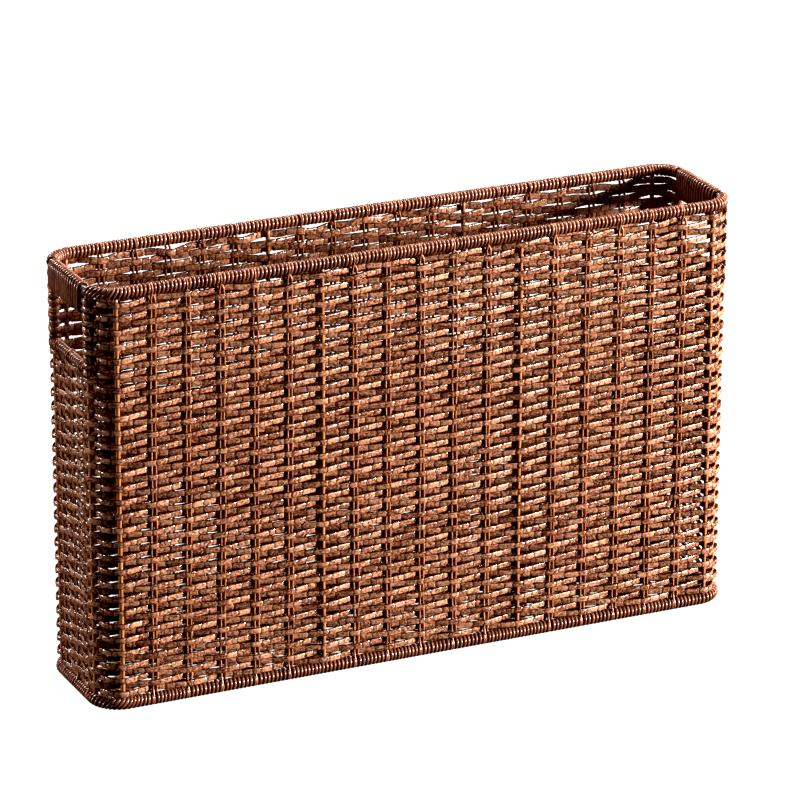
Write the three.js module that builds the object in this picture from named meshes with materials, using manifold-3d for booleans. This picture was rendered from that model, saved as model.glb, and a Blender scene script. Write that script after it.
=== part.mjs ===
// Woven magazine basket: a welded wire frame, cord stakes, woven walls and wound rims.
// Millimetres, +Z up. X runs along the basket. The origin is on the floor under its middle.
import * as THREE from "three";
import { mergeVertices } from "three/addons/utils/BufferGeometryUtils.js";
import Module from "manifold-3d";

const wasm = await Module();
wasm.setup();

// Overall size
const basket_length = 480;
const basket_depth = 100;
const basket_height = 300;
const corner_radius = 23.4;

// Wires of the frame
const rim_rod_radius = 2.5;
const upright_radius = 1.75;
const rod_angle = 12.2;

// Rim windings and the stake loops that cross them
const rim_winding_radius = 4.3;
const loop_gap = 0.2;
const loop_thickness = 0.5;
const winding_lead = 1.2;

// Cord stakes
const pair_width = 3;
const pair_thickness = 1.5;
const bay_count = 3;
const bay_stakes = 5;
const end_stakes = 3;
const end_stake_share = 0.705;

// Handle openings in the short ends
const grip_spacing = 14.5;
const hand_hole_height = 31.3;

// Wound cord of the grips and sills
const cord_diameter = 1.9;
const cord_bend_run = 0.85;
const grip_turns = 21;
const sill_turns = 20;
const bend_side_share = 0.3;
const bend_along_share = 0.65;
const least_cord_gap = 0.4;

// Woven walls and base
const crest_thickness = 6.4;
const valley_thickness = 3.8;
const crest_width = 8;

// Openings between the strands of the long walls, beside the stakes
const opening_width = 7;
const opening_height = 5;
const opening_rows = 3;
const opening_edge = 0.6;

// Fits
const clearance = 0.3;
const overrun = 2;

const flats = 8;
const flat_angle = Math.PI / flats;
const half_flat_share = Math.tan(flat_angle);
const to_corner = 1 / Math.cos(flat_angle);
const quarter_turn = Math.PI / 2;
const degrees = Math.PI / 180;

// Places worked out from the sizes
const loop_radius = rim_winding_radius + loop_gap + loop_thickness;
const loop_inner = loop_radius - loop_thickness;
const rim_x = basket_length / 2 - loop_radius;
const rim_y = basket_depth / 2 - loop_radius;
const bend_radius = corner_radius - loop_radius;
const bend_x = rim_x - bend_radius;
const bend_y = rim_y - bend_radius;
const top_rim_z = basket_height - loop_radius;
const bottom_rim_z = rim_winding_radius;

const side = bend_radius * Math.sin(rod_angle * degrees);
const reach = bend_radius * Math.cos(rod_angle * degrees);
const corner_upright = new THREE.Vector2(bend_x + side, bend_y + reach);
const end_upright = new THREE.Vector2(bend_x + reach, bend_y + side);

const bay_width = 2 * corner_upright.x / bay_count;
const stake_pitch = bay_width / (bay_stakes + 1);
const end_pitch = 2 * end_upright.y * end_stake_share / (end_stakes - 1);
const stake_total = bay_count * (bay_stakes + 1) + 1;

const grip_z = top_rim_z - grip_spacing;
const grip_wind_radius = rim_rod_radius + clearance + cord_diameter / 2;
const grip_bottom = grip_z - grip_wind_radius - cord_diameter / 2;
const sill_wind_radius = upright_radius + clearance + cord_diameter / 2;
const sill_loop_inner = sill_wind_radius + cord_diameter / 2 + loop_gap;
const sill_loop_radius = sill_loop_inner + loop_thickness;
const sill_z = grip_bottom - hand_hole_height - sill_loop_radius;

const weave_bottom = bottom_rim_z + loop_radius + clearance;
const weave_top = top_rim_z - loop_radius - clearance;
const end_weave_top = sill_z - sill_loop_radius - clearance;

const rod_slot = upright_radius + clearance;
const cord_slot_x = pair_width / 2 + clearance;
const cord_slot_y = pair_thickness / 2 + clearance;

// Every stake and upright along a long wall: its place, and whether it is a rod
const long_wall_line = [];
for (let i = 0; i < stake_total; i += 1) {
  const x = i * stake_pitch - corner_upright.x;
  const is_rod = i % (bay_stakes + 1) === 0;
  const at_corner = i === 0 || i === stake_total - 1;
  const y = at_corner ? corner_upright.y : rim_y;
  long_wall_line.push({ x, y, is_rod, at_corner });
}
const end_wall_line = [];
for (let i = 0; i < end_stakes; i += 1) {
  end_wall_line.push((i - (end_stakes - 1) / 2) * end_pitch);
}

// Materials
const paint = (color, roughness) => new THREE.MeshStandardMaterial({ color, roughness, metalness: 0 });
const strand_paint = paint(0xb46a3c, 0.38);
const winding_paint = paint(0xa35c34, 0.36);
const cord_paint = paint(0xb87746, 0.4);
const rod_paint = paint(0xcf9350, 0.35);

const basket = new THREE.Group();

// Adds one named piece to the basket
function add(name, geometry, material) {
  const mesh = new THREE.Mesh(geometry, material);
  mesh.name = name;
  basket.add(mesh);
  return mesh;
}

// Adds a piece turned half round the middle of the basket
function add_opposite(name, geometry, material) {
  const mesh = add(name, geometry, material);
  mesh.rotation.z = Math.PI;
  return mesh;
}

// Corner points of an eight-sided section, given the distance to its flats
function octagon(flat) {
  const points = [];
  for (let i = 0; i < flats; i += 1) {
    const angle = (2 * i + 1) * flat_angle;
    const corner = new THREE.Vector2(Math.cos(angle), Math.sin(angle));
    points.push(corner.multiplyScalar(flat * to_corner));
  }
  return points;
}

// Joins rings of points into one closed skin, with flat ends unless the rings form a loop
function skin(rings, is_loop, hole_rings = null) {
  const positions = [];
  const faces = [];
  const count = rings[0].length;
  const put = (list) => {
    const start = positions.length / 3;
    list.forEach((ring) => ring.forEach((point) => positions.push(point.x, point.y, point.z)));
    return start;
  };
  const wall = (start, inward) => {
    const spans = is_loop ? rings.length : rings.length - 1;
    for (let i = 0; i < spans; i += 1) {
      const here = start + i * count;
      const next = start + ((i + 1) % rings.length) * count;
      for (let j = 0; j < count; j += 1) {
        const k = (j + 1) % count;
        const quad = [here + j, here + k, next + k, next + j];
        if (inward) quad.reverse();
        faces.push(quad[0], quad[1], quad[2], quad[0], quad[2], quad[3]);
      }
    }
  };
  const outer = put(rings);
  wall(outer, false);
  const last = outer + (rings.length - 1) * count;
  if (hole_rings) {
    const inner = put(hole_rings);
    wall(inner, true);
    const inner_last = inner + (rings.length - 1) * count;
    for (let j = 0; j < count; j += 1) {
      const k = (j + 1) % count;
      faces.push(outer + k, outer + j, inner + j, outer + k, inner + j, inner + k);
      faces.push(last + j, last + k, inner_last + k, last + j, inner_last + k, inner_last + j);
    }
  } else if (!is_loop) {
    for (let j = 1; j < count - 1; j += 1) {
      faces.push(outer, outer + j + 1, outer + j);
      faces.push(last, last + j, last + j + 1);
    }
  }
  const geometry = new THREE.BufferGeometry();
  geometry.setAttribute("position", new THREE.Float32BufferAttribute(positions, 3));
  geometry.setIndex(faces);
  geometry.computeVertexNormals();
  return geometry;
}

// Rings of a section carried along points in plan, mitred where the line bends
function plan_rings(line, is_loop, z, flat) {
  const section = octagon(flat);
  return line.map((point, i) => {
    const before = line[(i - 1 + line.length) % line.length];
    const after = line[(i + 1) % line.length];
    const first = is_loop || i > 0 ? point.clone().sub(before).normalize() : null;
    const second = is_loop || i < line.length - 1 ? after.clone().sub(point).normalize() : null;
    const a = first || second;
    const b = second || first;
    const out = new THREE.Vector2(a.y + b.y, -a.x - b.x).normalize();
    const mitre = 1 / out.dot(new THREE.Vector2(b.y, -b.x));
    return section.map((corner) => {
      const shift = out.clone().multiplyScalar(corner.x * mitre);
      return new THREE.Vector3(point.x + shift.x, point.y + shift.y, z - corner.y);
    });
  });
}

// The rim's centre line, anticlockwise from the right end, with its uprights at two of each
// corner's bends
const bend_facets = 3;
const corner_step = (quarter_turn / degrees - 2 * rod_angle) / bend_facets;
const corner_turns = [0];
for (let i = 0; i <= bend_facets; i += 1) corner_turns.push(rod_angle + i * corner_step);
corner_turns.push(quarter_turn / degrees);
const rim_line = [];
for (let corner = 0; corner < 4; corner += 1) {
  const sign_x = corner === 0 || corner === 3 ? 1 : -1;
  const sign_y = corner < 2 ? 1 : -1;
  corner_turns.forEach((turn) => {
    const angle = corner * quarter_turn + turn * degrees;
    const x = sign_x * bend_x + bend_radius * Math.cos(angle);
    const y = sign_y * bend_y + bend_radius * Math.sin(angle);
    rim_line.push(new THREE.Vector2(x, y));
  });
}
const line_count = rim_line.length;
const half_count = line_count / 2;

// Upright round rod between two heights
function upright_rod(x, y, low, high) {
  const height = high - low;
  const geometry = new THREE.CylinderGeometry(upright_radius, upright_radius, height, flats);
  geometry.rotateX(quarter_turn);
  geometry.translate(x, y, low + height / 2);
  return geometry;
}

// Round rod that lies along Y, centred on the middle of the basket
function cross_rod(x, z, flat, half_length) {
  const radius = flat * to_corner;
  const geometry = new THREE.CylinderGeometry(radius, radius, 2 * half_length, flats);
  geometry.rotateY(flat_angle);
  geometry.translate(x, 0, z);
  return geometry;
}

// Frame: two rim rods, twelve uprights, four base rods, two grip rods and two sill rods
add("top_rim_rod", skin(plan_rings(rim_line, true, top_rim_z, rim_rod_radius), true), rod_paint);
add("bottom_rim_rod", skin(plan_rings(rim_line, true, bottom_rim_z, rim_rod_radius), true), rod_paint);

const upright_low = bottom_rim_z + rim_rod_radius + clearance;
const upright_high = top_rim_z - rim_rod_radius - clearance;
const uprights = long_wall_line.filter((place) => place.is_rod);
uprights.forEach((place, i) => {
  const front = upright_rod(place.x, -place.y, upright_low, upright_high);
  const back = upright_rod(place.x, place.y, upright_low, upright_high);
  add(`front_upright_${i + 1}`, front, rod_paint);
  add(`back_upright_${i + 1}`, back, rod_paint);
});
for (const [end, sign_x] of [["left", -1], ["right", 1]]) {
  for (const [face, sign_y] of [["front", -1], ["back", 1]]) {
    const rod = upright_rod(sign_x * end_upright.x, sign_y * end_upright.y, upright_low, upright_high);
    add(`${end}_${face}_end_upright`, rod, rod_paint);
  }
}

// A base rod stops at the rim rod, which slopes away where the corner bends
function base_rod_end(place) {
  const slope = place.at_corner ? (rod_angle + corner_step / 2) * degrees : 0;
  const seat = (rim_rod_radius + clearance) / Math.cos(slope);
  return place.y - seat - upright_radius * Math.tan(slope);
}
uprights.forEach((place, i) => {
  const rod = cross_rod(place.x, bottom_rim_z, upright_radius, base_rod_end(place));
  add(`base_rod_${i + 1}`, rod, rod_paint);
});

const end_rod_reach = end_upright.y - upright_radius - clearance;
for (const [end, sign_x] of [["left", -1], ["right", 1]]) {
  add(`${end}_grip_rod`, cross_rod(sign_x * rim_x, grip_z, rim_rod_radius, end_rod_reach), rod_paint);
  add(`${end}_sill_rod`, cross_rod(sign_x * rim_x, sill_z, upright_radius, end_rod_reach), rod_paint);
}

function to_solid(geometry) {
  const bare = geometry.clone();
  bare.deleteAttribute("normal");
  bare.deleteAttribute("uv");
  const merged = mergeVertices(bare);
  const vertProperties = new Float32Array(merged.attributes.position.array);
  const triVerts = new Uint32Array(merged.index.array);
  return new wasm.Manifold(new wasm.Mesh({ numProp: 3, vertProperties, triVerts }));
}

function to_geometry(solid) {
  const mesh = solid.getMesh();
  const geometry = new THREE.BufferGeometry();
  geometry.setAttribute("position", new THREE.BufferAttribute(new Float32Array(mesh.vertProperties), 3));
  geometry.setIndex(new THREE.BufferAttribute(new Uint32Array(mesh.triVerts), 1));
  geometry.computeVertexNormals();
  return geometry;
}

// A block between two corners, used to cut a slot
function block(low, high) {
  const size = high.clone().sub(low);
  const geometry = new THREE.BoxGeometry(size.x, size.y, size.z);
  geometry.translate(low.x + size.x / 2, low.y + size.y / 2, low.z + size.z / 2);
  return to_solid(geometry);
}

function cut(geometry, blocks) {
  const whole = to_solid(geometry);
  return to_geometry(blocks.reduce((solid, tool) => solid.subtract(tool), whole));
}

// Rim windings over the long walls. Each is a sleeve, slotted where a rod meets the rim rod.
function winding_sleeve(line, z) {
  const outer = plan_rings(line, false, z, rim_winding_radius);
  const inner = plan_rings(line, false, z, rim_rod_radius + clearance);
  return skin(outer, false, inner);
}

// A slot for an upright, from inside the sleeve's bore to past its skin
function upright_slot(x, y, z, up) {
  const near = z + up * rim_rod_radius;
  const far = z + up * (rim_winding_radius + overrun);
  const low = new THREE.Vector3(x - rod_slot, y - rod_slot, Math.min(near, far));
  const high = new THREE.Vector3(x + rod_slot, y + rod_slot, Math.max(near, far));
  return block(low, high);
}

function base_rod_slot(place) {
  const depth_low = place.y - rim_winding_radius - overrun;
  const low = new THREE.Vector3(place.x - rod_slot, depth_low, bottom_rim_z - rod_slot);
  const high = new THREE.Vector3(place.x + rod_slot, place.y, bottom_rim_z + rod_slot);
  return block(low, high);
}

function rim_slots(z, up) {
  const slots = uprights.map((place) => upright_slot(place.x, place.y, z, up));
  slots.push(upright_slot(end_upright.x, end_upright.y, z, up));
  slots.push(upright_slot(-end_upright.x, end_upright.y, z, up));
  return slots;
}

// The top winding stops just past the end uprights, where the grip winding takes over
const lead_in = rim_line[0].clone().sub(rim_line[1]).normalize();
const sleeve_start = rim_line[1].clone().addScaledVector(lead_in, winding_lead);
const sleeve_end = new THREE.Vector2(-sleeve_start.x, sleeve_start.y);
const top_line = [sleeve_start, ...rim_line.slice(1, half_count - 1), sleeve_end];
const top_sleeve = cut(winding_sleeve(top_line, top_rim_z), rim_slots(top_rim_z, -1));
add("top_back_rim_winding", top_sleeve, winding_paint);
add_opposite("top_front_rim_winding", top_sleeve, winding_paint);

const seam = clearance / 2;
const seam_start = new THREE.Vector2(rim_x, seam);
const seam_end = new THREE.Vector2(-rim_x, seam);
const bottom_line = [seam_start, ...rim_line.slice(0, half_count), seam_end];
const bottom_slots = [...rim_slots(bottom_rim_z, 1), ...uprights.map(base_rod_slot)];
const bottom_sleeve = cut(winding_sleeve(bottom_line, bottom_rim_z), bottom_slots);
add("bottom_back_rim_winding", bottom_sleeve, winding_paint);
add_opposite("bottom_front_rim_winding", bottom_sleeve, winding_paint);

// Points of one unbroken cord wound round one bar, or round two with one above the other.
// Each point holds its place, its direction away from the bar, and nothing else.
function wound_points(x, upper_z, lower_z, radius, turns, tail_from, tail_to) {
  const run = 2 * (tail_to.y - cord_bend_run);
  const points = [];
  for (let i = 0; i < turns * flats; i += 1) {
    const share = (i + 0.5) / flats;
    const angle = quarter_turn + 2 * Math.PI * share;
    const away = new THREE.Vector3(Math.cos(angle), 0, Math.sin(angle));
    const centre_z = away.z > 0 ? upper_z : lower_z;
    const y = run * (share / turns - 0.5);
    const place = new THREE.Vector3(x, y, centre_z).addScaledVector(away, radius * to_corner);
    points.push({ place, away });
  }
  const up = new THREE.Vector3(0, 0, 1);
  const top_z = upper_z + radius;
  for (const sign of [-1, 1]) {
    const loop_point = sign < 0 ? points[0].place : points[points.length - 1].place;
    const knee = new THREE.Vector3(tail_to.x, sign * tail_to.y, top_z);
    const bend = new THREE.Vector3(
      knee.x + bend_side_share * (loop_point.x - knee.x),
      knee.y + bend_along_share * (loop_point.y - knee.y),
      top_z,
    );
    const tip = new THREE.Vector3(tail_from.x, sign * tail_from.y, top_z);
    const tail = [tip, knee, bend].map((place) => ({ place, away: up }));
    if (sign < 0) points.unshift(...tail);
    else points.push(...tail.reverse());
  }
  return points;
}

function cord_skin(points, cord_sides) {
  const rings = points.map((point, i) => {
    const before = points[Math.max(i - 1, 0)].place;
    const after = points[Math.min(i + 1, points.length - 1)].place;
    const first = point.place.clone().sub(before).normalize();
    const second = after.clone().sub(point.place).normalize();
    const along = first.add(second).normalize();
    const out = point.away.clone().addScaledVector(along, -point.away.dot(along)).normalize();
    const across = new THREE.Vector3().crossVectors(out, along).negate();
    const ring = [];
    for (let j = 0; j < cord_sides; j += 1) {
      const angle = 2 * Math.PI * j / cord_sides;
      const offset = out.clone().multiplyScalar(Math.cos(angle));
      offset.addScaledVector(across, Math.sin(angle)).multiplyScalar(cord_diameter / 2);
      ring.push(point.place.clone().add(offset));
    }
    return ring;
  });
  return skin(rings, false);
}

// Least gap of a wound cord to itself, measured between points half a turn or more apart
function least_gap(points) {
  const cuts = 4;
  const fine = [];
  for (let i = 0; i < points.length - 1; i += 1) {
    for (let j = 0; j < cuts; j += 1) {
      fine.push(points[i].place.clone().lerp(points[i + 1].place, j / cuts));
    }
  }
  const apart = flats * cuts / 2;
  let least = Infinity;
  for (let i = 0; i < fine.length; i += 1) {
    for (let j = i + apart; j < fine.length; j += 1) {
      least = Math.min(least, fine[i].distanceTo(fine[j]));
    }
  }
  return least - cord_diameter;
}

function add_winding(name, points, cord_sides) {
  const gap = least_gap(points);
  console.log(`${name}: least gap to itself ${gap.toFixed(2)} mm, at least ${least_cord_gap} wanted`);
  add(name, cord_skin(points, cord_sides), winding_paint);
}

const grip_cord_sides = 5;
const sill_cord_sides = 4;
const grip_tip = sleeve_start.clone().addScaledVector(lead_in, clearance);
const grip_knee = grip_tip.clone().addScaledVector(lead_in, cord_diameter);
const sill_tip = new THREE.Vector2(rim_x, end_rod_reach);
const sill_knee = new THREE.Vector2(rim_x, end_rod_reach - cord_diameter);
for (const [end, sign] of [["left", -1], ["right", 1]]) {
  const facing = (point) => new THREE.Vector2(sign * point.x, point.y);
  const x = sign * rim_x;
  const grip = wound_points(
    x, top_rim_z, grip_z, grip_wind_radius, grip_turns, facing(grip_tip), facing(grip_knee),
  );
  add_winding(`${end}_handle_winding`, grip, grip_cord_sides);
  const sill = wound_points(
    x, sill_z, sill_z, sill_wind_radius, sill_turns, facing(sill_tip), facing(sill_knee),
  );
  add_winding(`${end}_sill_winding`, sill, sill_cord_sides);
}

// Outline helpers for the stakes: across is measured from the rim's centre line, inward positive
const outline_point = (across, z) => new THREE.Vector2(across, z);

// Eight corners of a loop, anticlockwise from the corner right of its lowest flat
function loop_corners(z, radius) {
  const half = radius * half_flat_share;
  return [
    outline_point(half, z - radius),
    outline_point(radius, z - half),
    outline_point(radius, z + half),
    outline_point(half, z + radius),
    outline_point(-half, z + radius),
    outline_point(-radius, z + half),
    outline_point(-radius, z - half),
    outline_point(-half, z - radius),
  ];
}

// A stake's leg, from its fork over the bottom rim to its loop at the top. The fork's outer
// tine ends beside the rim, and its inner tine ends at inner_low.
function leg_outline(loop_z, loop_size, inner_top, inner_low) {
  const half_leg = pair_thickness / 2;
  const half_out = loop_radius * half_flat_share;
  const half_in = loop_inner * half_flat_share;
  const fork_top = bottom_rim_z + loop_radius;
  const fork_under = bottom_rim_z + loop_inner;
  const tine_end = bottom_rim_z - half_out;
  return [
    outline_point(loop_radius, inner_top),
    outline_point(loop_radius, bottom_rim_z + half_out),
    outline_point(half_out, fork_top),
    outline_point(half_leg, fork_top),
    outline_point(half_leg, loop_z - loop_size),
    ...loop_corners(loop_z, loop_size),
    outline_point(-half_leg, loop_z - loop_size),
    outline_point(-half_leg, fork_top),
    outline_point(-half_out, fork_top),
    outline_point(-loop_radius, bottom_rim_z + half_out),
    outline_point(-loop_radius, tine_end),
    outline_point(-loop_inner, tine_end),
    outline_point(-loop_inner, bottom_rim_z + half_in),
    outline_point(-half_in, fork_under),
    outline_point(half_in, fork_under),
    outline_point(loop_inner, bottom_rim_z + half_in),
    outline_point(loop_inner, inner_low),
  ];
}

// Extrudes an outline over the width of a cord pair
function pair_solid(outline, holes) {
  const shape = new THREE.Shape(outline);
  holes.forEach((points) => shape.holes.push(new THREE.Path(points)));
  const geometry = new THREE.ExtrudeGeometry(shape, { depth: pair_width, bevelEnabled: false });
  geometry.translate(0, 0, -pair_width / 2);
  return geometry;
}

// Cross stakes: up the front wall, through the base and up the back wall
const base_run_top = bottom_rim_z + pair_thickness / 2;
const base_run_low = bottom_rim_z - pair_thickness / 2;
const wall_leg = leg_outline(top_rim_z, loop_radius, base_run_top, base_run_low);
const front_leg = wall_leg.map((point) => outline_point(point.x - rim_y, point.y));
const back_leg = wall_leg.map((point) => outline_point(rim_y - point.x, point.y)).reverse();
const front_eye = loop_corners(top_rim_z, loop_inner);
const eyes = [-rim_y, rim_y].map((y) => front_eye.map((point) => outline_point(point.x + y, point.y)));
const cross_stake = pair_solid([...front_leg, ...back_leg], eyes);
const to_depth = new THREE.Matrix4().makeBasis(
  new THREE.Vector3(0, 1, 0), new THREE.Vector3(0, 0, 1), new THREE.Vector3(1, 0, 0),
);
cross_stake.applyMatrix4(to_depth);
long_wall_line.filter((place) => !place.is_rod).forEach((place, i) => {
  const number = String(i + 1).padStart(2, "0");
  const mesh = add(`cross_stake_${number}`, cross_stake, cord_paint);
  mesh.position.x = place.x;
});

// End stakes: from the loop round the sill down to a fork over the bottom rim
const end_leg = leg_outline(
  sill_z, sill_loop_radius, bottom_rim_z - loop_radius * half_flat_share,
  bottom_rim_z - loop_radius * half_flat_share,
);
const end_stake = pair_solid(end_leg, [loop_corners(sill_z, sill_loop_inner)]);
const to_length = new THREE.Matrix4().makeBasis(
  new THREE.Vector3(1, 0, 0), new THREE.Vector3(0, 0, 1), new THREE.Vector3(0, -1, 0),
);
end_stake.applyMatrix4(to_length);
end_wall_line.forEach((y, i) => {
  const left = add(`left_end_stake_${i + 1}`, end_stake, cord_paint);
  left.position.set(-rim_x, y, 0);
  const right = add(`right_end_stake_${i + 1}`, end_stake, cord_paint);
  right.rotation.z = Math.PI;
  right.position.set(rim_x, y, 0);
});

// Outline of a woven wall through its stations, thick at the stakes and thin between them.
// Each end is notched half round the end upright that it stops at.
function wall_outline(stations) {
  const last = stations.length - 1;
  const normal = (i) => {
    const before = stations[Math.max(i - 1, 0)].point;
    const after = stations[Math.min(i + 1, last)].point;
    const along = after.clone().sub(before).normalize();
    return new THREE.Vector2(along.y, -along.x);
  };
  const at = (i, sign) => {
    const { point, thickness, out } = stations[i];
    return point.clone().addScaledVector(out || normal(i), sign * thickness / 2);
  };
  const notch = (i, sign, order) => {
    const { centre, out } = stations[i];
    const along = new THREE.Vector2(-out.y, out.x).multiplyScalar(sign * rod_slot);
    const face = stations[i].point;
    const deep = centre.clone().add(along);
    return order.map(([radial, inside]) => {
      const start = inside ? deep : face;
      return start.clone().addScaledVector(out, radial * rod_slot);
    });
  };
  const outline = [];
  stations.forEach((station, i) => outline.push(at(i, 1)));
  outline.push(...notch(last, -1, [[1, false], [1, true], [-1, true], [-1, false]]));
  stations.forEach((station, i) => outline.push(at(last - i, -1)));
  outline.push(...notch(0, 1, [[-1, false], [-1, true], [1, true], [1, false]]));
  return outline;
}

// Stations over one stake of a straight wall: a flat crest
function crest(along_place, to_point) {
  return [-1, 1].map((sign) => ({
    point: to_point(along_place + sign * crest_width / 2),
    thickness: crest_thickness,
  }));
}

// A wall's end station stands half a clearance from the upright's middle
function end_station(centre, out, inward) {
  const along = new THREE.Vector2(-out.y, out.x).multiplyScalar(inward * clearance / 2);
  return { centre, point: centre.clone().add(along), thickness: crest_thickness, out };
}

// A slot from below a wall to above it, for a stake or an upright
function wall_slot(x, y, half_x, half_y) {
  const low = new THREE.Vector3(x - half_x, y - half_y, weave_bottom - overrun);
  const high = new THREE.Vector3(x + half_x, y + half_y, weave_top + overrun);
  return block(low, high);
}

function extrude_wall(outline, slots, low, high) {
  const shape = new THREE.Shape(outline);
  const geometry = new THREE.ExtrudeGeometry(shape, { depth: high - low, bevelEnabled: false });
  geometry.translate(0, 0, low);
  return cut(geometry, slots);
}

// Long wall with both its corners, from one end upright round to the other. Built at the back.
const right_out = new THREE.Vector2(Math.cos(rod_angle * degrees), Math.sin(rod_angle * degrees));
const left_out = new THREE.Vector2(-right_out.x, right_out.y);
const left_end_upright = new THREE.Vector2(-end_upright.x, end_upright.y);
const end_upright_turn = 1;
const corner_upright_turn = corner_turns.length - 2;
const bend_points = rim_line.slice(end_upright_turn + 1, corner_upright_turn);
const right_bend = bend_points.map((point) => ({ point, thickness: valley_thickness }));
right_bend.push({ point: corner_upright, thickness: crest_thickness });
const left_bend = right_bend.map(({ point, thickness }) => ({
  point: new THREE.Vector2(-point.x, point.y),
  thickness,
})).reverse();
const along_back = (x) => new THREE.Vector2(x, rim_y);
const straight = [{ point: along_back(bend_x), thickness: crest_thickness }];
for (let i = stake_total - 2; i > 0; i -= 1) {
  const { x } = long_wall_line[i];
  straight.push({ point: along_back(x + stake_pitch / 2), thickness: valley_thickness });
  straight.push(...crest(-x, (place) => along_back(-place)));
}
const last_valley = stake_pitch / 2 - corner_upright.x;
straight.push({ point: along_back(last_valley), thickness: valley_thickness });
straight.push({ point: along_back(-bend_x), thickness: crest_thickness });
const long_stations = [
  end_station(end_upright, right_out, 1),
  ...right_bend,
  ...straight,
  ...left_bend,
  end_station(left_end_upright, left_out, -1),
];
const long_slots = long_wall_line.map((place) => (place.is_rod
  ? wall_slot(place.x, place.y, rod_slot, rod_slot)
  : wall_slot(place.x, place.y, cord_slot_x, cord_slot_y)));

// Openings in a plain grid: one beside each stake but the last of a bay, between its crest
// and the valley
const openings = [];
const opening_pitch = (weave_top - weave_bottom) / (opening_rows + 1);
const opening_y = crest_thickness / 2 + overrun;
long_wall_line.forEach((place, i) => {
  const number = i % (bay_stakes + 1);
  if (number === 0 || number === bay_stakes) return;
  const x = place.x + crest_width / 2 + opening_edge;
  for (let row = 1; row <= opening_rows; row += 1) {
    const z = weave_bottom + row * opening_pitch;
    const low = new THREE.Vector3(x, rim_y - opening_y, z - opening_height / 2);
    const high = new THREE.Vector3(x + opening_width, rim_y + opening_y, z + opening_height / 2);
    openings.push(block(low, high));
  }
});
const long_outline = wall_outline(long_stations);
const long_cuts = [...long_slots, ...openings];
const long_wall = extrude_wall(long_outline, long_cuts, weave_bottom, weave_top);
add("back_weave", long_wall, strand_paint);
add_opposite("front_weave", long_wall, strand_paint);

// Short end wall, between the end uprights and below the sill. Built at the right end.
const along_end = (y) => new THREE.Vector2(rim_x, y);
const lower_out = new THREE.Vector2(right_out.x, -right_out.y);
const lower_upright = new THREE.Vector2(end_upright.x, -end_upright.y);
const end_stations = [end_station(lower_upright, lower_out, 1)];
end_stations.push({ point: along_end(-bend_y), thickness: crest_thickness });
end_wall_line.forEach((y, i) => {
  const flat = crest(y, along_end);
  if (i > 0) end_stations.push({ point: along_end(y - end_pitch / 2), thickness: valley_thickness });
  if (i > 0) end_stations.push(flat[0]);
  if (i < end_stakes - 1) end_stations.push(flat[1]);
});
end_stations.push({ point: along_end(bend_y), thickness: crest_thickness });
end_stations.push(end_station(end_upright, right_out, -1));
const end_slots = end_wall_line.map((y) => wall_slot(rim_x, y, cord_slot_y, cord_slot_x));
const end_wall = extrude_wall(wall_outline(end_stations), end_slots, weave_bottom, end_weave_top);
add("right_end_weave", end_wall, strand_paint);
add_opposite("left_end_weave", end_wall, strand_paint);

// Woven base: a waved slab that the base rods and cross stakes run through, rounded to fit
// inside the bottom rim
const base_x = rim_x - loop_radius - clearance;
const base_y = rim_y - loop_radius - clearance;
const base_bend = bend_radius - loop_radius - clearance;
const base_line = [{ x: -base_x, half: crest_thickness / 2 }];
long_wall_line.forEach((place, i) => {
  if (i > 0) {
    base_line.push({ x: place.x - stake_pitch / 2, half: valley_thickness / 2 });
    base_line.push({ x: place.x - crest_width / 2, half: crest_thickness / 2 });
  }
  if (i < stake_total - 1) base_line.push({ x: place.x + crest_width / 2, half: crest_thickness / 2 });
});
base_line.push({ x: base_x, half: crest_thickness / 2 });
const base_outline = base_line.map(({ x, half }) => new THREE.Vector2(x, bottom_rim_z - half));
base_line.reverse().forEach(({ x, half }) => base_outline.push(new THREE.Vector2(x, bottom_rim_z + half)));
const base_depth = 2 * (base_y + overrun);
const base_shape = new THREE.Shape(base_outline);
const base_slab = new THREE.ExtrudeGeometry(base_shape, { depth: base_depth, bevelEnabled: false });
base_slab.translate(0, 0, -base_depth / 2);
base_slab.applyMatrix4(to_length);
const base_slots = long_wall_line.map((place) => {
  const half_x = place.is_rod ? rod_slot : cord_slot_x;
  const half_z = place.is_rod ? rod_slot : cord_slot_y;
  const low = new THREE.Vector3(place.x - half_x, -base_depth, bottom_rim_z - half_z);
  const high = new THREE.Vector3(place.x + half_x, base_depth, bottom_rim_z + half_z);
  return block(low, high);
});
const base_plan = new THREE.Shape();
base_plan.absarc(base_x - base_bend, base_y - base_bend, base_bend, 0, quarter_turn);
base_plan.absarc(base_bend - base_x, base_y - base_bend, base_bend, quarter_turn, 2 * quarter_turn);
base_plan.absarc(base_bend - base_x, base_bend - base_y, base_bend, 2 * quarter_turn, 3 * quarter_turn);
base_plan.absarc(base_x - base_bend, base_bend - base_y, base_bend, 3 * quarter_turn, 4 * quarter_turn);
const base_corner_steps = 3;
const base_prism = new THREE.ExtrudeGeometry(base_plan, {
  depth: crest_thickness + 2 * overrun,
  bevelEnabled: false,
  curveSegments: base_corner_steps,
});
base_prism.translate(0, 0, bottom_rim_z - crest_thickness / 2 - overrun);
const slotted_slab = to_solid(cut(base_slab, base_slots));
add("base_weave", to_geometry(slotted_slab.intersect(to_solid(base_prism))), strand_paint);

export default basket;
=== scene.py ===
"""A woven magazine basket: wound rims, cord stakes, wire uprights and flat plastic strands."""

import math

import bpy
import numpy as np
from mathutils import Matrix, Vector


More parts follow.
